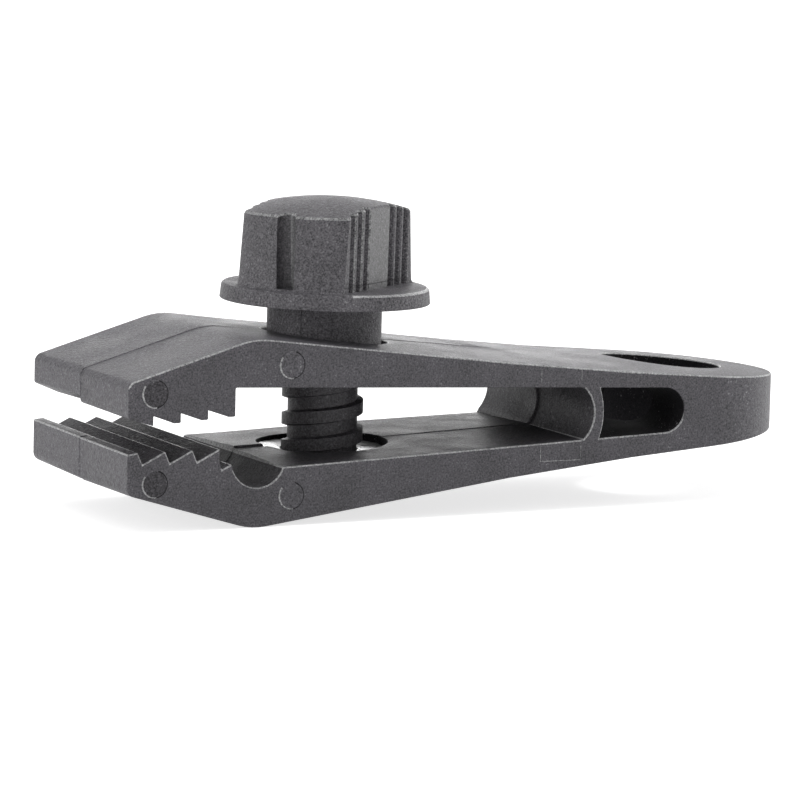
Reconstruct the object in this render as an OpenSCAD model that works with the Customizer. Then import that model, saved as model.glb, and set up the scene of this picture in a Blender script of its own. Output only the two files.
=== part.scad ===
// A screw clip for the edge of a tarpaulin. Two toothed jaws and a round tail are moulded in
// one piece with a curved web between them, and a one-piece thumb screw draws the jaws together.
// +X runs from the mouth to the tail, +Y across the jaws and +Z up the screw.
// The origin is the middle of the eyelet. Lengths are in millimetres.

/* [Body] */
// Length from the mouth to the end of the tail
body_l = 83; // [79:0.5:90]
// Width across the jaws, which is also the diameter of the round tail
body_w = 25; // [22:0.5:29]
// Height over both jaws at the mouth
mouth_h = 11.65; // [10:0.05:13]
// Height over both jaws at the knees, where they are thickest
knee_h = 20.15; // [18:0.05:22]
// How much deeper the lower jaw is than the upper, from the mouth to the knee
chin = 0.35; // [0:0.05:0.6]
// Height where the arms bend, behind the screw
bend_h = 12.5; // [11.5:0.1:14]
// Height at the front of the tail
waist_h = 9.4; // [8.8:0.1:11]
// Height at the end of the tail
tail_h = 5.8; // [4.5:0.1:8]
// Radius on the outer corners of the mouth
mouth_round = 1; // [0.3:0.1:1.6]
// Radius on the knees
knee_round = 8; // [2:0.5:12]

/* [Throat and web] */
// Height of the throat just behind the teeth
throat_front_h = 8.83; // [8:0.05:9.6]
// Height of the throat and the window at the web
throat_back_h = 5.6; // [4.6:0.05:6.2]
// Height of the throat's mid-line above the outline's: the lower arm is the thicker
throat_up = 0.38; // [0:0.01:0.7]
// Thickness of the web at its middle
web_t = 1.2; // [0.8:0.05:1.6]
// Radius of the web's bowed front face
web_front_r = 3.77; // [3.4:0.05:5]
// Radius of the web's bowed back face
web_back_r = 8; // [6:0.1:10]

/* [Teeth and rope groove] */
// Number of teeth on each jaw
teeth = 4; // [3:1:4]
// Distance from tooth to tooth
tooth_pitch = 3.12; // [2.6:0.02:3.2]
// Height of an upper tooth's upright rear face
upper_tooth_h = 1.08; // [0.7:0.02:1.2]
// Height of a lower tooth above the valley behind it
lower_tooth_h = 1.28; // [0.8:0.02:1.4]
// Open height between the front teeth
mouth_gap = 2.78; // [2.5:0.02:3.2]
// Radius of the groove across the lower jaw
groove_r = 3.08; // [2.4:0.02:3.3]

/* [Eyelet and side marks] */
// Diameter of the eyelet
eyelet_d = 13.4; // [10:0.1:14.5]
// Diameter of the round marks that the ejector pins leave on the sides
pin_mark_d = 3.1; // [2:0.1:3.6]
// Height of the pin marks above the side
pin_mark_h = 0.15; // [0.05:0.01:0.4]

/* [Screw] */
// Outside diameter of the thread
thread_d = 8.84; // [8:0.02:9.2]
// Diameter of the thread's core
core_d = 7.56; // [6.6:0.02:7.8]
// Rise of the thread in one turn
thread_pitch = 3; // [2.6:0.1:3.4]
// Diameter of the plain neck that turns in the upper jaw
neck_d = 12.3; // [11:0.1:12.6]
// Room across between the neck and its hole in the upper jaw
neck_room = 1.4; // [1.1:0.1:2]
// Diameter of the shallow recess round the threaded hole
recess_d = 13.2; // [12:0.1:14.4]
// Diameter of the flange
flange_d = 22.5; // [21.2:0.1:24]
// Thickness of the flange
flange_t = 1.7; // [1.2:0.1:2.2]
// Height of the flange's underside above the mid-line when the jaws are open
flange_up = 12.2; // [12:0.1:13]
// Length of the plain neck below the flange
neck_l = 6.5; // [5.5:0.1:7]
// Length of the screw below the flange, to its tip
screw_l = 19.8; // [18.5:0.1:20.5]

/* [Knob] */
// Diameter of the knob's lobes at their foot
knob_d = 20.35; // [18:0.05:20.4]
// Diameter of the knob's lobes at their top edge
knob_top_d = 19.1; // [17:0.1:19.6]
// Height of the lobes' sides
knob_h = 7.95; // [6.5:0.05:9]
// Rise of the domed top above the sides
dome_h = 1.55; // [0.8:0.05:2.2]
// Distance from the axis to the flat in a finger recess
flat_from_axis = 6.3; // [5.8:0.05:7]
// Width of that flat
flat_w = 4.8; // [3.6:0.1:5.6]
// Grip ribs on each side of the flat
grip_ribs = 3; // [2:1:3]
// Depth of the grooves between the ribs
grip_deep = 0.6; // [0.3:0.05:0.8]
// Turn of the finger recesses round the screw
recess_turn = -53; // [-90:1:90]

/* [Hidden] */
// A cut runs past the faces that it opens by this much.
over = 1;
// Running clearance between the arm's round end and its seat, and round the spindle
running = 0.06;
// Clearance between the screw's thread and the jaw's
thread_gap = 0.15;
$fn = 64;
corner_steps = 6;
dome_sides = 180;

// Stations along the clip, as shares of its length
knee_share = 0.1735;
screw_share = 0.3434;
bend_share = 0.542;
web_share = 0.6655;
arm_end_share = 0.6771;
waist_share = 0.723;
eye_x = body_l - body_w / 2;
knee_x = body_l * knee_share;
screw_x = body_l * screw_share;
bend_x = body_l * bend_share;
web_x = body_l * web_share;
waist_x = body_l * waist_share;
window_reach = 2.74;
window_end_x = eye_x - eyelet_d / 2 + window_reach;

// The teeth: where the first ones stand, and how the upper tips rise from tooth to tooth
upper_first_x = 2.89;
lower_first_x = 1.15;
tip_rise = 0.19;
tip_flat = 0.75;
upper_front_up = 1.25;
lower_tip_down = 1.56;
lower_front_drop = 0.19;
lower_fall_x = 0.55;
lower_tip_z = -lower_tip_down;
upper_tip_z = lower_tip_z + mouth_gap;
last_upper_x = upper_first_x + (teeth - 1) * tooth_pitch;
last_lower_x = lower_first_x + (teeth - 1) * tooth_pitch;
root_relief = 0.3;

// The groove behind the lower teeth, the notch before it and the lip between them
notch_w = 0.24;
notch_drop = 0.94;
groove_back = 4.46;
groove_down = 1.22;
lip_drop = 0.47;
groove_x = last_lower_x + groove_back;
groove_z = lower_tip_z - groove_down;
lip_x = groove_x - sqrt(pow(groove_r, 2) - pow(lip_drop, 2));
lip_z = groove_z - lip_drop;

// The throat narrows evenly from behind the teeth to the web
throat_fall = (throat_front_h - throat_back_h) / 2 / (web_x - last_upper_x);
function throat_half(x) = throat_front_h / 2 - (x - last_upper_x) * throat_fall;
function throat_top(x) = throat_up + throat_half(x);
function throat_low(x) = throat_up - throat_half(x);

// The upper arm ends in a round seat over the web, which stands in for the arm's own bending.
// The arm turns by the open angle until the teeth all but meet.
seat_up = 0.4;
seat_r = 1.7;
open_angle = 3.3;
seat_x = body_l * arm_end_share;
seat_z = throat_top(seat_x) + seat_up;
part_line_z = (upper_tip_z + lower_tip_z) / 2;
tall = knee_h;

// The screw's heights and its thread
spindle_r = thread_d / 2;
tip_bevel = 0.9;
crest_w = 1.3;
root_w = 1.9;
root_sink = 0.3;
thread_steps = 24;
thread_start = 157;
recess_deep = 0.55;
flange_round = 0.35;
neck_low_z = flange_up - neck_l;
tip_z = flange_up - screw_l;
thread_end_z = tip_z + tip_bevel;
recess_floor_z = throat_low(screw_x) - recess_deep;

// The knob's heights, its dome, and the ribs and grooves on it
knob_foot_z = flange_up + flange_t;
knob_edge_z = knob_foot_z + knob_h;
dome_r = (pow(knob_top_d / 2, 2) + pow(dome_h, 2)) / 2 / dome_h;
rib_w = 0.6;
grip_step = 1.7;
grip_floor_share = 0.45;
lobe_groove_w = 2.2;
lobe_groove_deep = 0.9;
lobe_groove_foot = 0.25;
lobe_groove_turn = recess_turn - 90;

// Pin marks: shares of the length from the mouth, and of the height above or below the mid-line
upper_mark_shares = [[0.0367, 0.687], [0.2265, 0.757]];
lower_mark_shares = [[0.0373, -0.746], [0.2271, -0.737]];

jaw_grey = [0.16, 0.16, 0.17];
screw_grey = [0.17, 0.17, 0.18];

// Points along a round corner at b between a and c
function corner(a, b, c, r) =
  let (
    u = (a - b) / norm(a - b),
    v = (c - b) / norm(c - b),
    half = acos(u * v) / 2,
    mid = b + (u + v) / norm(u + v) * r / sin(half),
    start = b + u * r / tan(half) - mid,
    end = b + v * r / tan(half) - mid,
    from = atan2(start[1], start[0]),
    to = atan2(end[1], end[0]),
    turn = (to - from + 540) % 360 - 180
  )
  [for (i = [0:corner_steps]) mid + r * [cos(from + turn * i / corner_steps), sin(from + turn * i / corner_steps)]];

// Where the outline turns on one side of the mid-line, with the jaw there deeper than the upper
function turns(deeper) = [
  [0, (mouth_h - chin) / 2 + deeper],
  [knee_x, (knee_h - chin) / 2 + deeper],
  [bend_x, bend_h / 2],
  [waist_x, waist_h / 2],
  [body_l, tail_h / 2]
];

// The upper side's height above the mid-line at a distance from the mouth
function side_half(x) = lookup(x, turns(0));

// The outline's points on one side of the mid-line, from the mouth to the tail
function half_outline(deeper) =
  let (p = turns(deeper))
  concat(corner([0, 0], p[0], p[1], mouth_round), corner(p[0], p[1], p[2], knee_round), [p[2], p[3], p[4]]);

// The clip's outline from the side
module side_outline() {
  upper = half_outline(0);
  lower = half_outline(chin);
  polygon(concat(upper, [for (i = [len(lower) - 1:-1:0]) [lower[i][0], -lower[i][1]]]));
}

// The gap between the two rows of teeth, back to the throat and the groove
module mouth_gap_outline() {
  upper_row = [for (i = [0:teeth - 1], p = [[-tip_flat, 0], [0, 0], [0, upper_tooth_h]])
    [upper_first_x + i * tooth_pitch, upper_tip_z + i * tip_rise] + p];
  lower_row = [for (i = [0:teeth - 1], low = [0, 1]) if (i < teeth - 1 || low == 0)
    [lower_first_x + i * tooth_pitch + low * lower_fall_x, lower_tip_z - low * lower_tooth_h]];
  lower_back = [
    [last_lower_x, lower_tip_z - lower_tooth_h],
    [last_lower_x + notch_w, lower_tip_z - lower_tooth_h - notch_drop],
    [lip_x, lip_z],
    [groove_x, lip_z]
  ];
  last_root = [last_upper_x, throat_top(last_upper_x) - root_relief];
  front = [[-over, upper_tip_z + upper_front_up], [0, upper_tip_z + upper_front_up]];
  low_front = [[0, lower_tip_z - lower_front_drop], [-over, lower_tip_z - lower_front_drop]];
  polygon(concat(
    front,
    [for (i = [1:3 * teeth - 2]) upper_row[i]],
    [last_root, [last_upper_x + root_relief, throat_top(last_upper_x + root_relief)]],
    [[groove_x, throat_top(groove_x)]],
    [for (i = [len(lower_back) - 1:-1:0]) lower_back[i]],
    [for (i = [2 * teeth - 2:-1:0]) lower_row[i]],
    low_front
  ));
}

// The tapered slot that both the throat and the window are cut from
module slot_outline(from, to) {
  polygon([[from, throat_top(from)], [to, throat_top(to)], [to, throat_low(to)], [from, throat_low(from)]]);
}

module throat_outline() {
  front_mid = web_x - web_front_r;
  intersection() {
    slot_outline(groove_x, web_x + over);
    union() {
      translate([groove_x, -tall / 2]) square([front_mid - groove_x, tall]);
      translate([front_mid, throat_up]) circle(r = web_front_r);
    }
  }
}

module window_outline() {
  end_r = throat_half(window_end_x - throat_back_h / 2);
  back_mid = web_x + web_t - web_back_r;
  difference() {
    union() {
      slot_outline(web_x, window_end_x - end_r);
      translate([window_end_x - end_r, throat_up]) circle(r = end_r);
    }
    translate([back_mid, throat_up]) circle(r = web_back_r);
  }
}

// Everything on the upper side of the parting, widened by a relief where the arm has to turn
module upper_side(relief, turn) {
  near_x = web_x - web_front_r + sqrt(pow(web_front_r, 2) - pow(throat_back_h / 2, 2));
  polygon([
    [-over, part_line_z],
    [bend_x, part_line_z],
    [near_x, throat_top(near_x) - relief - (seat_x - near_x) * tan(turn)],
    [seat_x, throat_top(seat_x) - relief],
    [seat_x, tall],
    [-over, tall]
  ]);
  translate([seat_x, seat_z]) circle(r = seat_r + relief);
}

module body_outline() {
  difference() {
    side_outline();
    mouth_gap_outline();
    translate([groove_x, groove_z]) circle(r = groove_r);
    throat_outline();
    window_outline();
  }
}

// Stands a side view up across the clip's width
module across(w) {
  translate([-eye_x, 0, 0]) rotate([90, 0, 0]) linear_extrude(w, center = true) children();
}

// The clip seen from above: straight sides and a round tail
module plan_solid() {
  tail_r = body_w / 2;
  translate([-eye_x - over, -tail_r, -tall]) cube([eye_x + over, body_w, 2 * tall]);
  cylinder(r = tail_r, h = 2 * tall, center = true);
}

// The ejector pins leave their marks on one side
module side_marks(mark_shares) {
  for (share = mark_shares) {
    x = share[0] * body_l;
    translate([x - eye_x, -body_w / 2, share[1] * side_half(x)])
      rotate([90, 0, 0]) cylinder(d = pin_mark_d, h = 2 * pin_mark_h, center = true);
  }
}

// One helical ridge round the Z axis, between two heights
module helix(low, high, r_in, r_out, half_root, half_crest) {
  rings = floor((high - low) / thread_pitch * thread_steps);
  points = [for (k = [0:rings])
    let (
      turn = thread_start + k * 360 / thread_steps,
      z = low + k * thread_pitch / thread_steps,
      way = [cos(turn), sin(turn)]
    )
    for (p = [[r_in, -half_root], [r_out, -half_crest], [r_out, half_crest], [r_in, half_root]])
      [way[0] * p[0], way[1] * p[0], z + p[1]]];
  sides = [for (k = [0:rings - 1], j = [0:3], half = [0, 1])
    let (a = 4 * k + j, b = 4 * k + (j + 1) % 4, c = a + 4, d = b + 4)
    half == 0 ? [a, b, d] : [a, d, c]];
  polyhedron(points, concat(sides, [[3, 2, 1], [3, 1, 0]], [for (f = [[0, 1, 2], [0, 2, 3]]) f + [4, 4, 4] * rings]));
}

// The cut for the jaw's thread: the screw's own thread, a little larger all round
module thread_cut() {
  cylinder(r = core_d / 2 + thread_gap, h = 2 * tall, center = true);
  helix(
    thread_end_z - thread_pitch,
    recess_floor_z + thread_pitch / 2,
    core_d / 2 - root_sink,
    spindle_r + thread_gap,
    root_w / 2 + thread_gap,
    crest_w / 2 + thread_gap
  );
}

module lower_jaw_and_tail() {
  color(jaw_grey) {
    difference() {
      intersection() {
        across(body_w) difference() {
          body_outline();
          upper_side(running, open_angle);
        }
        plan_solid();
      }
      cylinder(d = eyelet_d, h = tall, center = true);
      translate([screw_x - eye_x, 0, recess_floor_z]) cylinder(d = recess_d, h = tall / 2);
      translate([screw_x - eye_x, 0, 0]) thread_cut();
    }
    side_marks(lower_mark_shares);
  }
}

module upper_jaw() {
  color(jaw_grey) {
    difference() {
      across(body_w) intersection() {
        body_outline();
        upper_side(0, 0);
      }
      translate([screw_x - eye_x, 0, 0]) cylinder(d = neck_d + neck_room, h = tall);
    }
    side_marks(upper_mark_shares);
  }
}

// Half of one finger recess seen from above: the flat, then grooves with ribs between them
module grip_half() {
  reach = knob_d;
  translate([flat_from_axis, 0]) square([reach, reach]);
  for (i = [0:grip_ribs - 1]) {
    from = flat_w / 2 + i * grip_step;
    wide = grip_step - rib_w;
    inset = wide * (1 - grip_floor_share) / 2;
    translate([flat_from_axis, from]) polygon([
      [over, 0],
      [0, 0],
      [-grip_deep, inset],
      [-grip_deep, wide - inset],
      [0, wide],
      [over, wide]
    ]);
  }
}

// Half the knob's section: tapered lobes under a dome, flared at the foot to the flange
module knob_section() {
  foot = knob_foot_z;
  flare = flange_d / 2 - flange_round - knob_d / 2;
  difference() {
    intersection() {
      translate([0, foot]) square([knob_d / 2, knob_h + dome_h]);
      translate([0, knob_edge_z + dome_h - dome_r]) circle(r = dome_r, $fn = dome_sides);
    }
    polygon([
      [knob_d / 2, foot + flare],
      [knob_top_d / 2, knob_edge_z],
      [knob_top_d / 2, knob_edge_z + over],
      [knob_d, knob_edge_z + over],
      [knob_d, foot + flare]
    ]);
  }
  difference() {
    translate([0, foot]) square([knob_d / 2 + flare, flare]);
    translate([knob_d / 2 + flare, foot + flare]) circle(r = flare);
  }
}

module knob() {
  intersection() {
    rotate_extrude() knob_section();
    translate([0, 0, knob_foot_z]) linear_extrude(knob_h + dome_h + over) difference() {
      circle(r = knob_d);
      for (side = [0, 180], flip = [0, 1])
        rotate(recess_turn + side) mirror([0, flip]) grip_half();
    }
  }
}

module thumb_screw() {
  color(screw_grey)
  translate([screw_x - eye_x, 0, 0]) {
    difference() {
      knob();
      for (side = [0, 180])
        rotate(lobe_groove_turn + side)
          translate([knob_top_d / 2 + lobe_groove_w / 2 - lobe_groove_deep, 0, knob_foot_z + lobe_groove_foot])
            cylinder(d = lobe_groove_w, h = knob_h + dome_h + over);
    }
    rotate_extrude() polygon([
      [0, tip_z],
      [core_d / 2 - tip_bevel, tip_z],
      [core_d / 2, tip_z + tip_bevel],
      [core_d / 2, neck_low_z - running],
      [spindle_r, neck_low_z - running],
      [spindle_r, knob_foot_z],
      [0, knob_foot_z]
    ]);
    helix(
      thread_end_z,
      neck_low_z - running - root_w / 2,
      core_d / 2 - root_sink,
      spindle_r,
      root_w / 2,
      crest_w / 2
    );
  }
}

module screw_flange_neck() {
  bore_r = spindle_r + running;
  color(screw_grey)
  translate([screw_x - eye_x, 0, 0]) rotate_extrude() polygon([
    [bore_r, neck_low_z],
    [neck_d / 2, neck_low_z],
    [neck_d / 2, flange_up],
    [flange_d / 2, flange_up],
    [flange_d / 2, knob_foot_z - flange_round],
    [flange_d / 2 - flange_round, knob_foot_z],
    [bore_r, knob_foot_z]
  ]);
}

lower_jaw_and_tail();
upper_jaw();
thumb_screw();
screw_flange_neck();
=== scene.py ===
"""A tarp clip's looks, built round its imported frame. Shapes are made in millimetres and then scaled."""

import math

import bmesh
import bpy
from mathutils import Matrix, Vector


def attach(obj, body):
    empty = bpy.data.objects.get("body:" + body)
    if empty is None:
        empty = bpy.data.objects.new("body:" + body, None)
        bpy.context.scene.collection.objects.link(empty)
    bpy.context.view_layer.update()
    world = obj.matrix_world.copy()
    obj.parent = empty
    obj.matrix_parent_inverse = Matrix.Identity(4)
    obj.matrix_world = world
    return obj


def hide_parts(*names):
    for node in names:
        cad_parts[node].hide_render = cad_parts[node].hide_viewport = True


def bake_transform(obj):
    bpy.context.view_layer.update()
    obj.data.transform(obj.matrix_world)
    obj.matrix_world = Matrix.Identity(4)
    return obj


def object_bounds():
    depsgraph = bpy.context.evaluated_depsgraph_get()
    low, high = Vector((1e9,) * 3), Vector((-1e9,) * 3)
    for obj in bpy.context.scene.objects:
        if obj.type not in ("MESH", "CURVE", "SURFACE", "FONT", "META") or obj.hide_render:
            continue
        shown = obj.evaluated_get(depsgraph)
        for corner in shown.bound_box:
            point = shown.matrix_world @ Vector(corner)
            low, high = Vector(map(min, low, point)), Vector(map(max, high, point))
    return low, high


# The camera that the photograph's edges give, in metres and degrees, with its lens and sensor in millimetres
CAMERA_PLACE = (-0.27419, -0.46850, 0.07101)
CAMERA_AIM = (-0.03258, 0.0, 0.0009)
CAMERA_ROLL = 1.38
CAMERA_LENS, SENSOR_W = 219.5, 36
CAMERA_NEAR, CAMERA_FAR = 0.01, 20

# The body's sizes, mostly as in the part: distances from the mouth, and heights from the mid-line
EYE_X = 70.5
BODY_L, SIDE_Y = 83.0, 12.5
KNEE_X, SCREW_X, BEND_X, WEB_X, WAIST_X = 14.4, 28.502, 44.986, 55.2365, 60.009
MOUTH_HALF, KNEE_HALF, BEND_HALF, WAIST_HALF, TAIL_HALF = 5.65, 9.9, 6.25, 4.7, 2.9
MOUTH_ROUND, KNEE_ROUND, FRONT_SOFT = 1.0, 8.0, 0.4
CHIN = 0.35

# The throat's half heights and how far up it lies, and the web behind it
THROAT_FRONT, THROAT_BACK, THROAT_UP = 4.415, 2.8, 0.38
WEB_T, WEB_FRONT_R, WEB_BACK_R = 1.2, 3.77, 8.0

# The teeth, the notch behind the last lower one, and the rope groove with its lip
TEETH, PITCH, UPPER_H, LOWER_H = 4, 3.12, 1.08, 1.28
UPPER_X, UPPER_Z, TIP_RISE, TIP_FLAT, FRONT_UP = 2.89, 1.22, 0.19, 0.75, 1.25
LOWER_X, LOWER_Z, LOWER_FALL, FRONT_DROP = 1.15, -1.56, 0.55, 0.19
LAST_UPPER_X = UPPER_X + (TEETH - 1) * PITCH
LAST_LOWER_X = LOWER_X + (TEETH - 1) * PITCH
NOTCH_W, NOTCH_DROP = 0.24, 0.94
GROOVE_BACK, GROOVE_Z, GROOVE_R, LIP_DROP = 4.46, -2.78, 3.08, 0.47
GROOVE_X = LAST_LOWER_X + GROOVE_BACK

# The openings: the eyelet, the window's end, the neck's hole and the recess round the thread
EYELET_R, WINDOW_END, NECK_HOLE_R = 6.7, 66.54, 6.85
RECESS_R, RECESS_DEEP = 7.05, 0.55

# How far cutters overrun the sides, and how far the upright ones reach from the mid-line
OVER, REACH = 2.0, 20
ACROSS = (-SIDE_Y - OVER, SIDE_Y + OVER)

# How finely round shapes are drawn, and in how many rounds a repeated sum settles
ARC_STEP = math.radians(6)
DRUM_SIDES, MARK_SIDES = 96, 48
ROUNDS = 30

# The rounded edges, the angles from which an edge is rounded or sharp, and that below which two faces are one
EDGE_R, EDGE_STEPS = 0.2, 2
ROUND_ANGLE, SHARP_ANGLE, FLAT_ANGLE = math.radians(22), math.radians(20), math.radians(0.3)

# The distances within which points are the same, at the clip's side, on a face or near one
SAME, SLACK, CLOSE, NEAR = 0.0005, 0.01, 0.02, 0.1

# How much of a face's normal shows which way it looks
FACING = 0.5

# The looks, in the order of the material slots
# After the plain skin, the looks are: a painted highlight; near-black painted shade, which also serves for
# the screw neck's dark mould lines; painted light; painted shade; and a painted glint
SKIN, HIGHLIGHT, INSIDE, PAINTED_LIGHT, PAINTED_SHADE, PAINTED_GLINT = range(6)

# How far from the screw's axis edges stay sharp, which rims keep the painted highlight, and where the
# throat's painted shade ends
SHARP_R, WEB_HIGHLIGHT_REACH, HIGHLIGHT_UP = 5.2, 4, 0.15
SHADE_FROM_X, SHADE_PAST_WEB = 0.5, 0.3

# The ejector pins' marks on the near side: which way round their rims carry a painted shadow and a painted
# highlight, and how widely
MARK_R, MARK_H, MARK_ROUND = 1.48, 0.13, 0.13
MARK_SHADOW_TURN, MARK_HIGHLIGHT_TURN = math.radians(-5), math.radians(215)
MARK_SHADOW_COS, MARK_HIGHLIGHT_COS = 0.2, 0.3
MARKS = [(3.0, 4.52), (18.7, 6.97), (3.1, -4.95), (18.87, -6.88)]

# The lines that the mould's insert leaves on the near side: distance, height, and how long and tall they are
LINE_W, LINE_H = 0.045, 0.04
INSERT_LINES = [
    (48.55, 4.02, LINE_W, 1.4),
    (53.5, 3.95, LINE_W, 1.45),
    (48.65, -4.65, LINE_W, 1.55),
    (53.6, -4.5, LINE_W, 1.65),
    (48.7, -4.65, 4.95, LINE_W * 1.5),
]

# The cut between the visual body's two meshes: how far below the throat's roof, round the web, and where it
# ends
SPLIT_DROP, SPLIT_BEFORE, SPLIT_AFTER, SPLIT_END_X = 0.6, 2.5, 3, 61.5

# Where the upper arm is cut across, by distance from the eyelet
ARM_CUTS = range(-25, -10, 2)

# The screw's sizes, with heights from the mid-line
SCREW_AXIS = SCREW_X - EYE_X
TIP_Z, NECK_LOW_Z, FLANGE_Z, FOOT_Z, EDGE_Z, APEX_Z = -7.6, 5.7, 12.2, 13.9, 21.85, 23.4
CORE_R, THREAD_R, THREAD_PITCH, THREAD_START = 3.78, 4.42, 3.0, math.radians(157)
CREST_W, ROOT_W, ROOT_SINK, TIP_BEVEL, THREAD_GAP = 1.3, 1.9, 0.3, 0.9, 0.15
THREAD_STEPS = 36
RUN_OUT, RUN_OUT_Z = 0.4, (2.4, 3.5)
NECK_R, FLANGE_R, FLANGE_ROUND, FLANGE_DRAFT, FLASH = 6.21, 11.25, 0.35, 0.13, 0.05
FLANGE_STEPS = 4

# The knob: two lobes that taper upwards and flare at the foot, a slightly tilted dome, and the head's lean
KNOB_R, KNOB_TOP_R, DOME_R, FLARE = 10.32, 9.69, 32.05, 0.6
DOME_TILT, TILT_WAY = 0.009, Vector((0.901, 0.434))
HEAD_LEAN, LEAN_AXIS = math.radians(0.8), Vector((0.46, 0.89, 0))

# The finger recesses between the lobes, each with a flat and ribs on both sides of it
RECESS_TURN = math.radians(-53)
FLAT_X, FLAT_HALF, FLAT_STEPS = 6.3, 2.4, 4
RIBS, RIB_STEP, RIB_W, RIB_DEEP, RIB_INSET, CREST_SOFT = 3, 1.7, 0.6, 0.6, 0.3, 0.12
RIB_POINTS = 6

# The lobes' steps, and the groove up each: it sways a little, and its painted shade and painted light end at
# steps
LOBE_GROOVE_R, LOBE_GROOVE_AT, LOBE_GROOVE_Z = 1.1, 9.85, 14.15
LOBE_STEPS, GROOVE_STEPS = 12, 10
SWAY_LOW, SWAY_HIGH = math.radians(2.2), math.radians(-0.2)
SHADE_END, PAINTED_LIGHT_END = 5, 9

# The points of a knob section: in a recess, in a recess and a lobe, and those on the neck's mould lines
RECESS_COUNT = 2 * (FLAT_STEPS + RIBS * RIB_POINTS) - 1
HALF_COUNT = RECESS_COUNT + 2 * (LOBE_STEPS + 1) + GROOVE_STEPS - 1
MOULD_NOTCH, MOULD_LINE_AT = 0.1, RECESS_COUNT + 20
MOULD_LINES = (MOULD_LINE_AT, HALF_COUNT + MOULD_LINE_AT)

# The knob's rings: shares of the way up its foot, heights in its grooved part, shares of the dome's radius
FOOT_SHARES = (0, 0.35, 0.7, 1)
GROOVED_LEVELS = (LOBE_GROOVE_Z, LOBE_GROOVE_Z + 0.2, LOBE_GROOVE_Z + 0.45, FOOT_Z + FLARE, 17.5)
DOME_SHARES = (0.982, 0.93, 0.8, 0.6, 0.4, 0.2, 0.07)

# How far the knob's top edge stands out
EDGE_OUT = 0.02

# The mould's halves meet half way across: how far the far half is out, and where along the clip that shows
MISMATCH = Vector((-0.05, 0, 0.06))
PART_W = 0.03
TOP_LINE_END, LOW_LINE_END = (14.5, 19.0), (15.0, 24.0)
ARM_LINE_START, ARM_LINE_END = (30.0, 34.0), (46.0, 50.0)

# The teeth, which that mismatch spares, and the thread's room, where nothing moves
SPARED_START_X, SPARED_END_X, SPARED_HALF = 0.4, LAST_UPPER_X + 1, 3.1
SPARED_R = THREAD_R + THREAD_GAP + 0.05

# The low crests that the mould's draft leaves half way across: on the lower throat, the web and the top
CREST_NEAR, CREST_FAR, CREST_SIDE, CREST_WEB_SIDE, CREST_BACK_SHARE = 0.33, 0.5, 0.03, -0.27, 0.35
CREST_FRONT_X, CREST_BACK_X, CREST_MARGIN, CREST_LOW_Z = 21.0, 36.0, 1, -5
WEB_NEAR, WEB_FAR, WEB_SIDE = 0.08, 0.33, -0.12
CROWN = [(KNEE_X, 0), (22, 0.07), (35, 0.27), (43, 0.37), (65, 0.5), (77, 0.22), (BODY_L, 0.1)]
CROWN_DEEP, CROWN_CUTS = 0.35, (-9.5, -6.5, -3.5)

# The slight twist of the jaws, the step under the upper jaw's front, and the lift of its far half's teeth
TWIST, TWIST_END_X, TWIST_Z, CHIN_TWIST_Z, UPPER_LESS = 0.4, 21.0, (1.9, 4.5), (2.9, 4.5), 0.25
FRONT_NEAR, FRONT_FAR, FRONT_END_X, FRONT_LOW_Z, FRONT_HIGH_Z = -0.15, 0.1, 1, 1.9, 3
FAR_FRONT_LIFT, FAR_TEETH_LIFT, LIFT_REACH, LIFT_LOW_Z = 0.36, 0.2, 0.5, 0.9

# Colours as linear red, green and blue
BODY_DARK, BODY_PALE = (0.010, 0.009, 0.012), (0.126, 0.120, 0.135)
# Lighter colour that paints a highlight on rounded edges and rims
EDGE_HIGHLIGHT_DARK, EDGE_HIGHLIGHT_PALE = (0.10, 0.10, 0.105), (0.62, 0.62, 0.625)
# Near black: painted shade inside the window, the eyelet and the recess, and the dark mould lines on the
# screw's neck
INSIDE_DARK, INSIDE_PALE = (0.004, 0.004, 0.005), (0.018, 0.017, 0.019)
# Pale: a painted highlight on the floor of the recess round the thread
RECESS_HIGHLIGHT_DARK, RECESS_HIGHLIGHT_PALE = (0.30, 0.30, 0.30), (0.50, 0.50, 0.50)
# Darker colour that paints shade in the throat, on the teeth, the groove, the thread and the front pin marks
SHADE_DARK, SHADE_PALE = (0.006, 0.0055, 0.007), (0.094, 0.089, 0.098)
SCREW_DARK, SCREW_PALE = (0.008, 0.007, 0.010), (0.165, 0.158, 0.172)
# Pale: a painted highlight on the knob's top edge and rib crests
CREST_HIGHLIGHT_DARK, CREST_HIGHLIGHT_PALE = (0.05, 0.05, 0.052), (0.43, 0.43, 0.435)
# Lighter colour that paints light on the knob's flats and on the lit side of the lobe grooves
FLAT_LIT_DARK, FLAT_LIT_PALE = (0.06, 0.06, 0.062), (0.19, 0.188, 0.194)
SPARK = (0.55, 0.55, 0.55)

# The grain's noises, for coordinates in metres, its bumps' depth in metres, and its spread of tones and gloss
SPECKLE = {"Scale": 5200, "Detail": 3, "Roughness": 0.6}
CLOUDS = {"Scale": 220, "Detail": 4, "Roughness": 0.55}
PITS = {"Scale": 2300, "Detail": 2, "Roughness": 0.5}
GRAIN_DEEP, PITS_DEEPER = 0.00006, 1.5
PITS_SHARE, CLOUDS_SHARE = 0.2, 0.2
DARK_AT, PALE_AT, SPARK_AT = 0.39, 0.61, 0.74
GLOSS_FROM, GLOSS_TO, GLOSS_SWAY = 0.3, 0.7, 0.08

# The light: the world shines from all round, less on the side that it dims towards
WORLD_LEVEL, WORLD_DIM = 0.83, 0.44
DIM_SIDE, DIM_START, DIM_END = (-0.2, -0.98, 0.0), -0.3, 0.7
WHITE = (1, 1, 1, 1)

# The floor, with its radius in metres
FLOOR_R, FLOOR_SIDES, FLOOR_GREY, FLOOR_GLOW = 3.0, 96, (0.8, 0.8, 0.8, 1), 0.7

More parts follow.
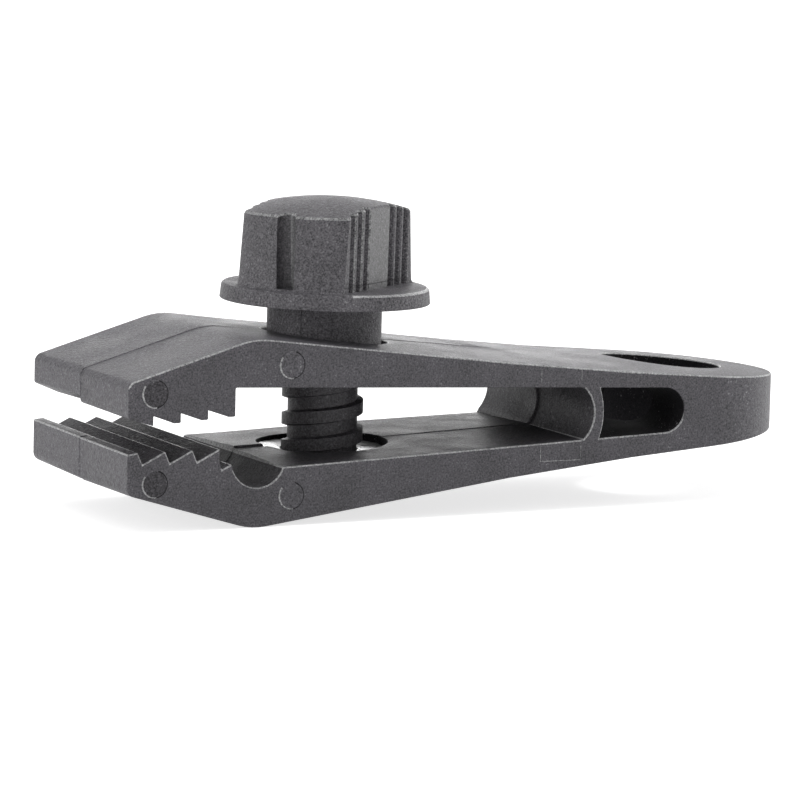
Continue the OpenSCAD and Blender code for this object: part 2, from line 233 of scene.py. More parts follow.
# The soft lamps: name, bearing and height in degrees, size in metres and power in watts
LAMP_AIM, LAMP_DISTANCE = Vector((-0.03, 0, 0)), 0.8
LAMPS = [
    ("lamp_back", 66, 4, 0.3, 0.9),
    ("lamp_right", 12, 14, 0.4, 0.9),
    ("lamp_left", 183, 12, 0.4, 1.3),
    ("lamp_above", -20, 70, 0.25, 1.55),
]

# A millimetre in metres
MM = 0.001


def point(x, z):
    """A point of the side view, from its distance to the mouth."""
    return Vector((x - EYE_X, z))


def throat_half(x):
    """Half the throat's height, which falls evenly from the last upper tooth to the web."""
    fall = (THROAT_FRONT - THROAT_BACK) / (WEB_X - LAST_UPPER_X)
    return THROAT_FRONT - (x - LAST_UPPER_X) * fall


def throat_top(x):
    return THROAT_UP + throat_half(x)


def throat_low(x):
    return THROAT_UP - throat_half(x)


def arc(mid, radius, start, end):
    """Points of an arc from one angle to another."""
    count = max(1, math.ceil(abs(end - start) / ARC_STEP))
    angles = [start + (end - start) * i / count for i in range(count + 1)]
    return [mid + radius * Vector((math.cos(a), math.sin(a))) for a in angles]


def round_corner(before, at, after, radius):
    """Points along a round corner."""
    u, v = (before - at).normalized(), (after - at).normalized()
    half = u.angle(v) / 2
    mid = at + (u + v).normalized() * (radius / math.sin(half))
    start = at + u * (radius / math.tan(half)) - mid
    end = at + v * (radius / math.tan(half)) - mid
    first = math.atan2(start.y, start.x)
    turn = (math.atan2(end.y, end.x) - first + math.pi) % math.tau - math.pi
    return arc(mid, radius, first, first + turn)


def meet(mid_x, radius, side):
    """The angle at which a bowed web face meets the throat's roof (side 1) or floor (side -1)."""
    angle = math.radians(45)
    for _ in range(ROUNDS):
        height = throat_half(mid_x + radius * math.cos(angle))
        angle = math.asin(height / radius)
    return side * angle


def half_outline(deeper):
    """One side of the outline above the mid-line, with its jaw deeper by so much."""
    mouth, knee = point(0, MOUTH_HALF + deeper), point(KNEE_X, KNEE_HALF + deeper)
    bend = point(BEND_X, BEND_HALF)
    points = round_corner(point(0, 0), mouth, knee, MOUTH_ROUND)
    points += round_corner(mouth, knee, bend, KNEE_ROUND)
    return points + [bend, point(WAIST_X, WAIST_HALF), point(BODY_L, TAIL_HALF)]


def teeth_and_groove():
    """The lower jaw's side of the mouth, from the front to the throat's floor."""
    points = [point(0, LOWER_Z - FRONT_DROP)]
    for i in range(TEETH):
        x = LOWER_X + i * PITCH
        points.append(point(x, LOWER_Z))
        points.append(point(x + (LOWER_FALL if i < TEETH - 1 else 0), LOWER_Z - LOWER_H))
    points.append(point(LAST_LOWER_X + NOTCH_W, LOWER_Z - LOWER_H - NOTCH_DROP))
    lip = math.pi + math.asin(LIP_DROP / GROOVE_R)
    far_x = GROOVE_X + GROOVE_R
    for _ in range(ROUNDS):
        far_x = GROOVE_X + math.sqrt(GROOVE_R ** 2 - (throat_low(far_x) - GROOVE_Z) ** 2)
    far = math.tau + math.asin((throat_low(far_x) - GROOVE_Z) / GROOVE_R)
    return points + arc(point(GROOVE_X, GROOVE_Z), GROOVE_R, lip, far)


def upper_teeth():
    """The upper jaw's side of the mouth, from the throat's roof to the front."""
    points = [point(LAST_UPPER_X, throat_top(LAST_UPPER_X))]
    for i in reversed(range(TEETH)):
        x, z = UPPER_X + i * PITCH, UPPER_Z + i * TIP_RISE
        if i < TEETH - 1:
            points.append(point(x, z + UPPER_H))
        points.append(point(x, z))
        if i:
            points.append(point(x - TIP_FLAT, z))
    before, after = point(UPPER_X, UPPER_Z), point(0, MOUTH_HALF)
    return points + round_corner(before, point(0, UPPER_Z + FRONT_UP - FRONT_SOFT / 2), after, FRONT_SOFT)


def body_outline():
    """The body from the side, without its openings."""
    lower = [Vector((p.x, -p.y)) for p in reversed(half_outline(CHIN))]
    front_mid = WEB_X - WEB_FRONT_R
    web = arc(
        point(front_mid, THROAT_UP),
        WEB_FRONT_R,
        meet(front_mid, WEB_FRONT_R, -1),
        meet(front_mid, WEB_FRONT_R, 1),
    )
    return half_outline(0) + lower + teeth_and_groove() + web + upper_teeth()


def window_outline():
    """The tail's window from the side: bowed at the web, and round at its end."""
    back_mid = WEB_X + WEB_T - WEB_BACK_R
    end_x = WINDOW_END - throat_half(WINDOW_END - THROAT_BACK)
    back = arc(
        point(back_mid, THROAT_UP),
        WEB_BACK_R,
        meet(back_mid, WEB_BACK_R, 1),
        meet(back_mid, WEB_BACK_R, -1),
    )
    return back + arc(point(end_x, THROAT_UP), throat_half(end_x), -math.pi / 2, math.pi / 2)


def clip_plan():
    """The clip from above: straight sides and a round tail."""
    tail = arc(Vector((0, 0)), SIDE_Y, -math.pi / 2, math.pi / 2)
    return [Vector((-EYE_X - OVER, -SIDE_Y)), *tail, Vector((-EYE_X - OVER, SIDE_Y))]


def split_outline():
    """Everything on the upper arm's side of the cut between the visual body's two meshes."""
    gap_z = (UPPER_Z + LOWER_Z) / 2
    under_roof = []
    for x in (WEB_X - SPLIT_BEFORE, WEB_X + SPLIT_AFTER, SPLIT_END_X):
        under_roof.append(point(x, throat_top(x) - SPLIT_DROP))
    return [
        point(-OVER, gap_z),
        point(BEND_X, gap_z),
        *under_roof,
        point(SPLIT_END_X, REACH),
        point(-OVER, REACH),
    ]


def prism(outline, low, high, turned=False, look=SKIN):
    """A closed mesh from an outline: across the clip from a side view, or upwards from a plan."""
    bm = bmesh.new()
    rings = []
    for level in (low, high):
        places = [(p.x, p.y, level) if turned else (p.x, level, p.y) for p in outline]
        rings.append([bm.verts.new(place) for place in places])
    for ring in rings:
        bm.faces.new(ring)
    count = len(outline)
    for i in range(count):
        j = (i + 1) % count
        bm.faces.new((rings[0][i], rings[0][j], rings[1][j], rings[1][i]))
    bmesh.ops.recalc_face_normals(bm, faces=bm.faces)
    for face in bm.faces:
        face.material_index = look
    return bm


def drum(x, radius, low, high, look=SKIN):
    """A closed round cutter about an upright axis."""
    angles = [math.tau * i / DRUM_SIDES for i in range(DRUM_SIDES)]
    outline = [Vector((x + radius * math.cos(a), radius * math.sin(a))) for a in angles]
    return prism(outline, low, high, turned=True, look=look)


def bridge(bm, rings):
    """Joins rings of equal count into a closed skin with its two ends filled."""
    count = len(rings[0])
    for a, b in zip(rings, rings[1:]):
        for j in range(count):
            k = (j + 1) % count
            bm.faces.new((a[j], a[k], b[k], b[j]))
    bm.faces.new(rings[0])
    bm.faces.new(rings[-1])
    bmesh.ops.recalc_face_normals(bm, faces=bm.faces)


def temporary(bm):
    """A passing object for the modifiers, with an empty slot for each look."""
    mesh = bpy.data.meshes.new("work")
    bm.to_mesh(mesh)
    bm.free()
    for _ in range(PAINTED_GLINT + 1):
        mesh.materials.append(None)
    thing = bpy.data.objects.new("work", mesh)
    bpy.context.scene.collection.objects.link(thing)
    return thing


def combine(base, tools, operation):
    """Cuts, joins or intersects closed meshes, and gives the result as a new mesh."""
    target = temporary(base)
    others = [temporary(tool) for tool in tools]
    for other in others:
        modifier = target.modifiers.new("combine", "BOOLEAN")
        modifier.object = other
        modifier.operation = operation
        modifier.solver = "EXACT"
    seen = target.evaluated_get(bpy.context.evaluated_depsgraph_get())
    result = bmesh.new()
    result.from_mesh(seen.to_mesh())
    seen.to_mesh_clear()
    for thing in [target, *others]:
        mesh = thing.data
        bpy.data.objects.remove(thing)
        bpy.data.meshes.remove(mesh)
    return result


def cut(bm, at, axis):
    """Adds the points where a plane across one axis crosses the mesh."""
    place, normal = Vector(), Vector()
    place[axis], normal[axis] = at, 1
    bmesh.ops.bisect_plane(bm, geom=[*bm.verts, *bm.edges, *bm.faces], plane_co=place, plane_no=normal)


def flatten(bm):
    """Merges doubled points and joins faces that lie in one plane."""
    bmesh.ops.remove_doubles(bm, verts=bm.verts, dist=SAME)
    bmesh.ops.dissolve_limit(bm, angle_limit=FLAT_ANGLE, verts=bm.verts, edges=bm.edges)


def finish_mesh(bm, name, *materials):
    """Makes an object from a mesh that was built in millimetres."""
    bmesh.ops.recalc_face_normals(bm, faces=bm.faces)
    for edge in bm.edges:
        edge.smooth = len(edge.link_faces) == 2 and edge.calc_face_angle(0) < SHARP_ANGLE
    for face in bm.faces:
        face.smooth = True
    bmesh.ops.scale(bm, vec=(MM, MM, MM), verts=bm.verts)
    mesh = bpy.data.meshes.new(name)
    bm.to_mesh(mesh)
    bm.free()
    piece = bpy.data.objects.new(name, mesh)
    bpy.context.scene.collection.objects.link(piece)
    for material in materials:
        mesh.materials.append(material)
    return piece


def fade(value, start, end):
    """A smooth fall from 1 at the start to 0 at the end."""
    share = min(1, max(0, (value - start) / (end - start)))
    return 1 - share * share * (3 - 2 * share)


def between(table, x):
    """The value that a table of places and values gives at one place."""
    for (x0, v0), (x1, v1) in zip(table, table[1:]):
        if x <= x1:
            return v0 + (v1 - v0) * max(0, x - x0) / (x1 - x0)
    return table[-1][1]


def ridge(low, high, grow):
    """One helical ridge round the screw's axis, as a closed mesh, grown by so much on all its sides."""
    bm = bmesh.new()
    count = math.floor((high - low) / THREAD_PITCH * THREAD_STEPS)
    section = [
        (CORE_R - ROOT_SINK, -ROOT_W / 2 - grow),
        (THREAD_R + grow, -CREST_W / 2 - grow),
        (THREAD_R + grow, CREST_W / 2 + grow),
        (CORE_R - ROOT_SINK, ROOT_W / 2 + grow),
    ]
    rings = []
    for k in range(count + 1):
        turn = THREAD_START + math.tau * k / THREAD_STEPS
        z = low + THREAD_PITCH * k / THREAD_STEPS
        worn = RUN_OUT * (1 - fade(z, *RUN_OUT_Z))
        ring = []
        for r, dz in section:
            reach = r - (worn if r > CORE_R else 0)
            ring.append(bm.verts.new((SCREW_AXIS + reach * math.cos(turn), reach * math.sin(turn), z + dz)))
        rings.append(ring)
    bridge(bm, rings)
    # The thread takes the painted shade
    for face in bm.faces:
        face.material_index = PAINTED_SHADE
    return bm


def pin_mark(x, z):
    """The raised disc that an ejector pin leaves on the near side, with a painted shadow on one side of its
    rim, a painted highlight on the other, and painted shade on the discs near the mouth.
    """
    bm = bmesh.new()
    angles = [math.tau * i / MARK_SIDES for i in range(MARK_SIDES)]
    rings = []
    for radius, depth in [(MARK_R, MARK_H), (MARK_R, -MARK_H / 4), (MARK_R - MARK_ROUND, -MARK_H)]:
        ring = []
        for a in angles:
            place = (x - EYE_X + radius * math.cos(a), depth - SIDE_Y, z + radius * math.sin(a))
            ring.append(bm.verts.new(place))
        rings.append(ring)
    bridge(bm, rings)
    for face in bm.faces:
        mid = face.calc_center_median()
        turn = math.atan2(mid.z - z, mid.x + EYE_X - x)
        # Painted shade on the discs near the mouth, and a painted shadow and a painted highlight round the
        # rim
        if len(face.verts) == MARK_SIDES:
            face.material_index = PAINTED_SHADE if x < KNEE_X else SKIN
        elif math.cos(turn - MARK_SHADOW_TURN) > MARK_SHADOW_COS:
            face.material_index = INSIDE
        elif math.cos(turn - MARK_HIGHLIGHT_TURN) > MARK_HIGHLIGHT_COS:
            face.material_index = HIGHLIGHT
    return bm


def insert_line(x, z, long, tall):
    """A fine raised line on the near side, where the mould has an insert, coloured with the painted
    highlight.
    """
    corners = [point(x, z), point(x + long, z), point(x + long, z + tall), point(x, z + tall)]
    return prism(corners, -SIDE_Y - LINE_H, -SIDE_Y + LINE_H, look=HIGHLIGHT)


def axis_distance(co, x):
    """A place's distance from an upright axis half way across the clip."""
    return math.hypot(co.x - x, co.y)


def worth_rounding(edge):
    """Whether the moulding rounds an edge: none in the thread, nor between the window and the eyelet."""
    if len(edge.link_faces) != 2 or edge.calc_face_angle(0) < ROUND_ANGLE:
        return False
    places = [vert.co for vert in edge.verts]
    if all(axis_distance(co, SCREW_AXIS) < SHARP_R and co.z < 0 for co in places):
        return False
    in_window = all(abs(co.z - THROAT_UP) < THROAT_BACK + NEAR for co in places)
    return not (in_window and all(axis_distance(co, 0) < EYELET_R + CLOSE for co in places))


def paint_rim_light_and_shade(bm):
    """Keeps the painted highlight on rims that face up and on the web's, and paints shade on the recess's
    rims.
    """
    bm.normal_update()
    for face in bm.faces:
        mid = face.calc_center_median()
        if face.material_index != HIGHLIGHT:
            continue
        at_web = abs(mid.x + EYE_X - WEB_X) < WEB_HIGHLIGHT_REACH and abs(mid.z - THROAT_UP) < THROAT_BACK
        if axis_distance(mid, SCREW_AXIS) < RECESS_R + EDGE_R and mid.z < 0:
            face.material_index = INSIDE
        elif face.normal.z < HIGHLIGHT_UP and not at_web:
            face.material_index = SKIN


def paint_throat_shade(bm):
    """Paints shade on the faces of the lower teeth, the groove and the throat, as a darker look."""
    for face in bm.faces:
        mid = face.calc_center_median()
        x = mid.x + EYE_X
        if face.material_index != SKIN or abs(face.normal.y) > FACING:
            continue
        in_teeth = SHADE_FROM_X < x < GROOVE_X and LOWER_Z - LOWER_H - NOTCH_DROP < mid.z < 0
        in_groove = abs(x - GROOVE_X) < GROOVE_R + NEAR and GROOVE_Z - GROOVE_R - NEAR < mid.z < 0
        in_throat = GROOVE_X < x < WEB_X + SHADE_PAST_WEB and abs(mid.z - THROAT_UP) < throat_half(x) + NEAR
        if in_teeth or in_groove or in_throat:
            face.material_index = PAINTED_SHADE


def whole_body():
    """The body as one moulding, with its rounded edges, pin marks and insert lines."""
    seen_above = prism(clip_plan(), -REACH, REACH, turned=True)
    bm = combine(prism(body_outline(), *ACROSS), [seen_above], "INTERSECT")
    recess_floor = throat_low(SCREW_X) - RECESS_DEEP
    # The recess's walls take the painted shade
    recess = drum(SCREW_AXIS, RECESS_R, recess_floor, 0, look=INSIDE)
    # The recess's floor takes a painted highlight
    for face in recess.faces:
        if face.normal.z < -FACING:
            face.material_index = PAINTED_LIGHT
    cutters = [
        # The insides of the window and the eyelet take the painted shade
        prism(window_outline(), *ACROSS, look=INSIDE),
        drum(0, EYELET_R, -REACH, REACH, look=INSIDE),
        drum(SCREW_AXIS, NECK_HOLE_R, 0, REACH),
        recess,
        drum(SCREW_AXIS, CORE_R + THREAD_GAP, -REACH, 0),
        ridge(TIP_Z + TIP_BEVEL - THREAD_PITCH, recess_floor + THREAD_PITCH / 2, THREAD_GAP),
    ]
    bm = combine(bm, cutters, "DIFFERENCE")
    flatten(bm)
    # All rounded edges first take the painted highlight
    bmesh.ops.bevel(
        bm,
        geom=[edge for edge in bm.edges if worth_rounding(edge)],
        offset=EDGE_R,
        offset_type="OFFSET",
        segments=EDGE_STEPS,
        profile=0.5,
        affect="EDGES",
        clamp_overlap=True,
        material=HIGHLIGHT,
    )
    paint_rim_light_and_shade(bm)
    paint_throat_shade(bm)
    marks = [pin_mark(x, z) for x, z in MARKS]
    lines = [insert_line(*line) for line in INSERT_LINES]
    return combine(bm, marks + lines, "UNION")


def close(a, b, co):
    """Whether a point lies on a face, with the face's rounded edges at the clip's sides."""
    at_side = abs(co.y) > SIDE_Y - EDGE_R - SLACK
    return abs(a - b) < CLOSE + (EDGE_R if at_side else 0)


def part_step(co, x):
    """How far the mould's far half is out at a point, which is nowhere in the teeth."""
    if abs(co.z) < SPARED_HALF and SPARED_START_X < x < SPARED_END_X:
        return Vector()
    if co.z > 0:
        on_arm = fade(x, *ARM_LINE_END) * (1 - fade(x, *ARM_LINE_START))
        return MISMATCH * (fade(x, *TOP_LINE_END) + on_arm)
    return MISMATCH * fade(x, *LOW_LINE_END)


def drafted(near, far, side, y):
    """A face's rise towards the middle, for its near half and its far half."""
    share = abs(y) / SIDE_Y
    return far * (1 - share) + side * share if y > 0 else near * (1 - share)


def throat_crest(co, x):
    """How high the lower throat's floor, and the recess in it, rise towards the middle."""
    on_floor = GROOVE_X + CREST_MARGIN < x < WEB_X - CREST_MARGIN and close(co.z, throat_low(x), co)
    in_recess = axis_distance(co, SCREW_AXIS) < RECESS_R + EDGE_R and CREST_LOW_Z < co.z < 0
    if not on_floor and not in_recess:
        return 0
    level = between([(CREST_FRONT_X, 1), (CREST_BACK_X, CREST_BACK_SHARE)], x)
    side = between([(CREST_BACK_X, CREST_SIDE), (WEB_X, CREST_WEB_SIDE)], x)
    return drafted(CREST_NEAR * level, CREST_FAR * level, side, co.y)


def web_crest(co, x):
    """How far the web's front face stands forward, most in the middle."""
    mid = point(WEB_X - WEB_FRONT_R, THROAT_UP)
    reach = (Vector((co.x, co.z)) - mid).length
    if x < WEB_X - WEB_FRONT_R or not close(reach, WEB_FRONT_R, co):
        return 0
    return drafted(WEB_NEAR, WEB_FAR, WEB_SIDE, co.y)


def crown_rise(co, x):
    """How high the body's top rises towards the middle: round on its near half, straight on its far one."""
    top_line = [(KNEE_X, KNEE_HALF), (BEND_X, BEND_HALF), (WAIST_X, WAIST_HALF), (BODY_L, TAIL_HALF)]
    if co.z <= between(top_line, x) - CROWN_DEEP:
        return 0
    share = abs(co.y) / SIDE_Y
    return between(CROWN, x) * (1 - (share if co.y > 0 else share ** 2))


def twist_rise(co, x):
    """How far the jaws' twist lifts a point: all across the mouth, and at the chin only on the far half."""
    across = (co.y + SIDE_Y) / SIDE_Y / 2 - (UPPER_LESS if co.z > 0 else 0)
    above_chin = fade(-co.z, *CHIN_TWIST_Z)
    twist = across * above_chin + max(0, co.y) / SIDE_Y * (1 - above_chin)
    return TWIST * twist * fade(x, 0, TWIST_END_X) * fade(co.z, *TWIST_Z)


def settle(bm):
    """Gives the moulding its parting step, its draft's low crests and the slight twist of its jaws."""
    for x in (CREST_FRONT_X, CREST_BACK_X, *(place for place, _ in CROWN[1:-1])):
        cut(bm, point(x, 0).x, 0)
    for y in (-PART_W, PART_W, *CROWN_CUTS):
        cut(bm, y, 1)
    for vert in bm.verts:
        co = vert.co
        x = co.x + EYE_X
        if axis_distance(co, SCREW_AXIS) < SPARED_R and co.z < 0:
            continue
        move = part_step(co, x) if co.y > 0 else Vector()
        move.z += throat_crest(co, x) + twist_rise(co, x)
        move.x -= web_crest(co, x)
        move.z += crown_rise(co, x)
        if x < FRONT_END_X and FRONT_LOW_Z < co.z < FRONT_HIGH_Z:
            move.z += FRONT_FAR if co.y > 0 else FRONT_NEAR
        if co.y > 0 and x < LAST_UPPER_X + LIFT_REACH and LIFT_LOW_Z < co.z < FRONT_HIGH_Z:
            lift = FAR_FRONT_LIFT if x < UPPER_X + LIFT_REACH else FAR_TEETH_LIFT
            move.z += lift * (1 - co.y / SIDE_Y)
        co += move


def body(materials):
    """The moulded body as two meshes: one attached to the clip's body, and the other baked in place over the
    web.
    """
    whole = whole_body()
    copy = whole.copy()
    region = prism(split_outline(), *ACROSS)
    upper = combine(whole, [region.copy()], "INTERSECT")
    lower = combine(copy, [region], "DIFFERENCE")
    for x in ARM_CUTS:
        cut(upper, x, 0)
    settle(upper)
    settle(lower)
    low_piece = finish_mesh(lower, "moulded_body_lower", *materials)
    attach(low_piece, "clip_body")
    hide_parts("lower_jaw_and_tail")
    high_piece = finish_mesh(upper, "moulded_body_upper", *materials)
    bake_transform(high_piece)
    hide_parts("upper_jaw")


def recess_half():
    """Half of a finger recess in plan, x out of the flat and y along it, from its middle outwards."""
    points = [(FLAT_X, FLAT_HALF * i / FLAT_STEPS) for i in range(FLAT_STEPS)]
    wide = RIB_STEP - RIB_W
    for i in range(RIBS):
        y = FLAT_HALF + i * RIB_STEP
        points += [
            (FLAT_X, y - CREST_SOFT),
            (FLAT_X - CREST_SOFT, y + CREST_SOFT / 2),
            (FLAT_X - RIB_DEEP, y + RIB_INSET),
            (FLAT_X - RIB_DEEP, y + wide - RIB_INSET),
            (FLAT_X - CREST_SOFT, y + wide - CREST_SOFT / 2),
            (FLAT_X, y + wide + CREST_SOFT),
        ]
    return points


def knob_ring(radius, grooved, z):
    """The knob's section at a height, for one radius of its lobes, as points round the axis."""
    half = recess_half()
    recess = [(x, -y) for x, y in reversed(half[1:])] + half
    edge = math.atan2(math.sqrt(max(radius ** 2 - FLAT_X ** 2, 0)), FLAT_X)
    lip_y = (radius ** 2 + LOBE_GROOVE_AT ** 2 - LOBE_GROOVE_R ** 2) / 2 / LOBE_GROOVE_AT
    half_gap = math.acos(min(1, lip_y / radius))
    lobe = []
    for i in range(LOBE_STEPS + 1):
        a = edge + (math.pi / 2 - half_gap - edge) * i / LOBE_STEPS
        lobe.append((radius * math.cos(a), radius * math.sin(a)))
    lip = math.atan2(lip_y - LOBE_GROOVE_AT, radius * math.sin(half_gap))
    for i in range(1, GROOVE_STEPS):
        share = i / GROOVE_STEPS
        if grooved:
            a = lip - (math.pi + 2 * lip) * share
            lobe.append((LOBE_GROOVE_R * math.cos(a), LOBE_GROOVE_AT + LOBE_GROOVE_R * math.sin(a)))
        else:
            a = math.pi / 2 - half_gap + 2 * half_gap * share
            lobe.append((radius * math.cos(a), radius * math.sin(a)))
    lobe += [(-x, y) for x, y in reversed(lobe[:LOBE_STEPS + 1])]
    sway = SWAY_LOW + (SWAY_HIGH - SWAY_LOW) * (z - LOBE_GROOVE_Z) / (EDGE_Z - LOBE_GROOVE_Z)
    for i, (x, y) in enumerate(lobe):
        a = sway * min(1, i / LOBE_STEPS, (len(lobe) - 1 - i) / LOBE_STEPS)
        lobe[i] = (x * math.cos(a) - y * math.sin(a), x * math.sin(a) + y * math.cos(a))
    half_turn = recess + lobe
    return half_turn + [(-x, -y) for x, y in half_turn]


def lobe_radius(z):
    """The lobes' radius at a height: flared at the foot, and tapered above it."""
    if z < FOOT_Z + FLARE:
        return KNOB_R + FLARE - math.sqrt(max(0, FLARE ** 2 - (FOOT_Z + FLARE - z) ** 2))
    share = (z - FOOT_Z - FLARE) / (EDGE_Z - FOOT_Z - FLARE)
    return KNOB_R + (KNOB_TOP_R - KNOB_R) * share


def dome_z(x, y):
    """The dome's height over a point of the knob's own plan, with its slight tilt."""
    return APEX_Z - DOME_R + math.sqrt(DOME_R ** 2 - x * x - y * y) + DOME_TILT * TILT_WAY.dot((x, y))


def ring_angles():
    """The angles of a knob section's points, which the round rings below the knob keep."""
    angles = []
    for i, (x, y) in enumerate(knob_ring(lobe_radius(FOOT_Z), False, FOOT_Z)):
        on_recess = i % HALF_COUNT < RECESS_COUNT
        angles.append(math.atan2(y, math.copysign(FLAT_X, x) if on_recess else x))
    return angles


def add_ring(bm, points, heights):
    """Adds a ring of points about the screw's axis, turned to the way that the recesses face."""
    cos_turn, sin_turn = math.cos(RECESS_TURN), math.sin(RECESS_TURN)
    ring = []
    for (x, y), z in zip(points, heights):
        place = (SCREW_AXIS + x * cos_turn - y * sin_turn, x * sin_turn + y * cos_turn, z)
        ring.append(bm.verts.new(place))
    return ring


def screw_rings(bm):
    """The screw's rings from tip to dome, and the first ring of its neck, foot, lobe grooves and top edge."""
    rings = []
    angles = ring_angles()

    def circle(radius, z, notch=0):
        points = []
        for i, a in enumerate(angles):
            reach = radius - notch if i in MOULD_LINES else radius
            points.append((reach * math.cos(a), reach * math.sin(a)))
        rings.append(add_ring(bm, points, [z] * len(points)))

    def section(z, grooved):
        points = knob_ring(lobe_radius(z), grooved, z)
        rings.append(add_ring(bm, points, [z] * len(points)))

    circle(CORE_R - TIP_BEVEL, TIP_Z)
    circle(CORE_R, TIP_Z + TIP_BEVEL)
    circle(CORE_R, NECK_LOW_Z)
    circle(NECK_R - EDGE_R, NECK_LOW_Z)
    neck_at = len(rings)
    circle(NECK_R, NECK_LOW_Z + EDGE_R, MOULD_NOTCH)
    circle(NECK_R, FLANGE_Z - EDGE_R, MOULD_NOTCH)
    circle(NECK_R + EDGE_R, FLANGE_Z)
    circle(FLANGE_R + FLANGE_DRAFT - FLASH, FLANGE_Z)
    circle(FLANGE_R + FLANGE_DRAFT, FLANGE_Z + FLASH)
    for i in range(FLANGE_STEPS + 1):
        a = math.radians(90) * i / FLANGE_STEPS
        circle(FLANGE_R - FLANGE_ROUND * (1 - math.cos(a)), FOOT_Z - FLANGE_ROUND * (1 - math.sin(a)))
    foot_at = len(rings)
    for share in FOOT_SHARES:
        section(FOOT_Z + share * (LOBE_GROOVE_Z - FOOT_Z), False)
    groove_at = len(rings)
    for z in GROOVED_LEVELS:
        section(z, True)
    edge_at = len(rings)
    top = knob_ring(KNOB_TOP_R, True, EDGE_Z)
    below_dome = [dome_z(x, y) - EDGE_R for x, y in top]
    rings.append(add_ring(bm, knob_ring(KNOB_TOP_R + EDGE_OUT, True, EDGE_Z), below_dome))
    for share in DOME_SHARES:
        points = [(x * share, y * share) for x, y in top]
        rings.append(add_ring(bm, points, [dome_z(x, y) for x, y in points]))
    return rings, (neck_at, foot_at, groove_at, edge_at)


def tone(level, j, neck_at, foot_at, groove_at, edge_at):
    """The look of the screw's face above one ring and at one place round it: plain, painted highlight,
    painted light, painted glint, painted shade, or the dark mould line.
    """
    place = j % HALF_COUNT
    in_recess = place < RECESS_COUNT - 1
    from_middle = int(abs(place + 0.5 - RECESS_COUNT // 2))
    across_groove = place - RECESS_COUNT - LOBE_STEPS
    if level == neck_at:
        return INSIDE if j in MOULD_LINES or j + 1 in MOULD_LINES else SKIN
    # The core and tip below the neck take the painted shade
    if level < neck_at - 1:
        return PAINTED_SHADE
    # Painted highlight along the knob's top edge
    if level == edge_at:
        return SKIN if in_recess and from_middle < FLAT_STEPS else HIGHLIGHT
    # A painted glint on the flange's rounded rim in one recess
    if in_recess and j < HALF_COUNT and foot_at - FLANGE_STEPS - 1 < level < foot_at - 1:
        return PAINTED_GLINT
    # Painted shade on one side of each lobe's groove, painted light on the other
    if groove_at <= level < edge_at and 0 <= across_groove < SHADE_END:
        return PAINTED_SHADE
    if groove_at <= level < edge_at and SHADE_END <= across_groove < PAINTED_LIGHT_END:
        return PAINTED_LIGHT
    if level < foot_at or level > edge_at or not in_recess:
        return SKIN
    # Painted light on the recess's flat
    if from_middle < FLAT_STEPS:
        return PAINTED_LIGHT
    # Painted highlight on the rib crests of one side only
    on_crest = (from_middle - FLAT_STEPS) % RIB_POINTS in (0, FLAT_STEPS)
    return HIGHLIGHT if place < RECESS_COUNT // 2 and on_crest else SKIN


def screw(materials):
    """The one-piece thumb screw: domed knob, flange, neck, core and thread."""
    bm = bmesh.new()
    rings, starts = screw_rings(bm)
    for level, (a, b) in enumerate(zip(rings, rings[1:])):
        for j in range(len(a)):
            k = (j + 1) % len(a)
            bm.faces.new((a[j], a[k], b[k], b[j])).material_index = tone(level, j, *starts)
    bm.faces.new(rings[0])
    bm.faces.new(rings[-1])
    bmesh.ops.remove_doubles(bm, verts=bm.verts, dist=SAME)
    bmesh.ops.recalc_face_normals(bm, faces=bm.faces)
    bm = combine(bm, [ridge(TIP_Z + TIP_BEVEL, NECK_LOW_Z - ROOT_W / 2, 0)], "UNION")
    head = [vert for vert in bm.verts if vert.co.z > FLANGE_Z - EDGE_R / 2]
    lean = Matrix.Rotation(HEAD_LEAN, 3, LEAN_AXIS)
    bmesh.ops.rotate(bm, verts=head, cent=(SCREW_AXIS, 0, FLANGE_Z), matrix=lean)
    piece = finish_mesh(bm, "moulded_screw", *materials)
    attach(piece, "screw_body")
    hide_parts("thumb_screw", "screw_flange_neck")


def add(nodes, kind, **values):
    """Adds a node and sets its properties and its inputs' values by name."""
    node = nodes.new(kind)
    for name, value in values.items():
        if hasattr(node, name):
            setattr(node, name, value)
        else:
            node.inputs[name.replace("_", " ")].default_value = value
    return node


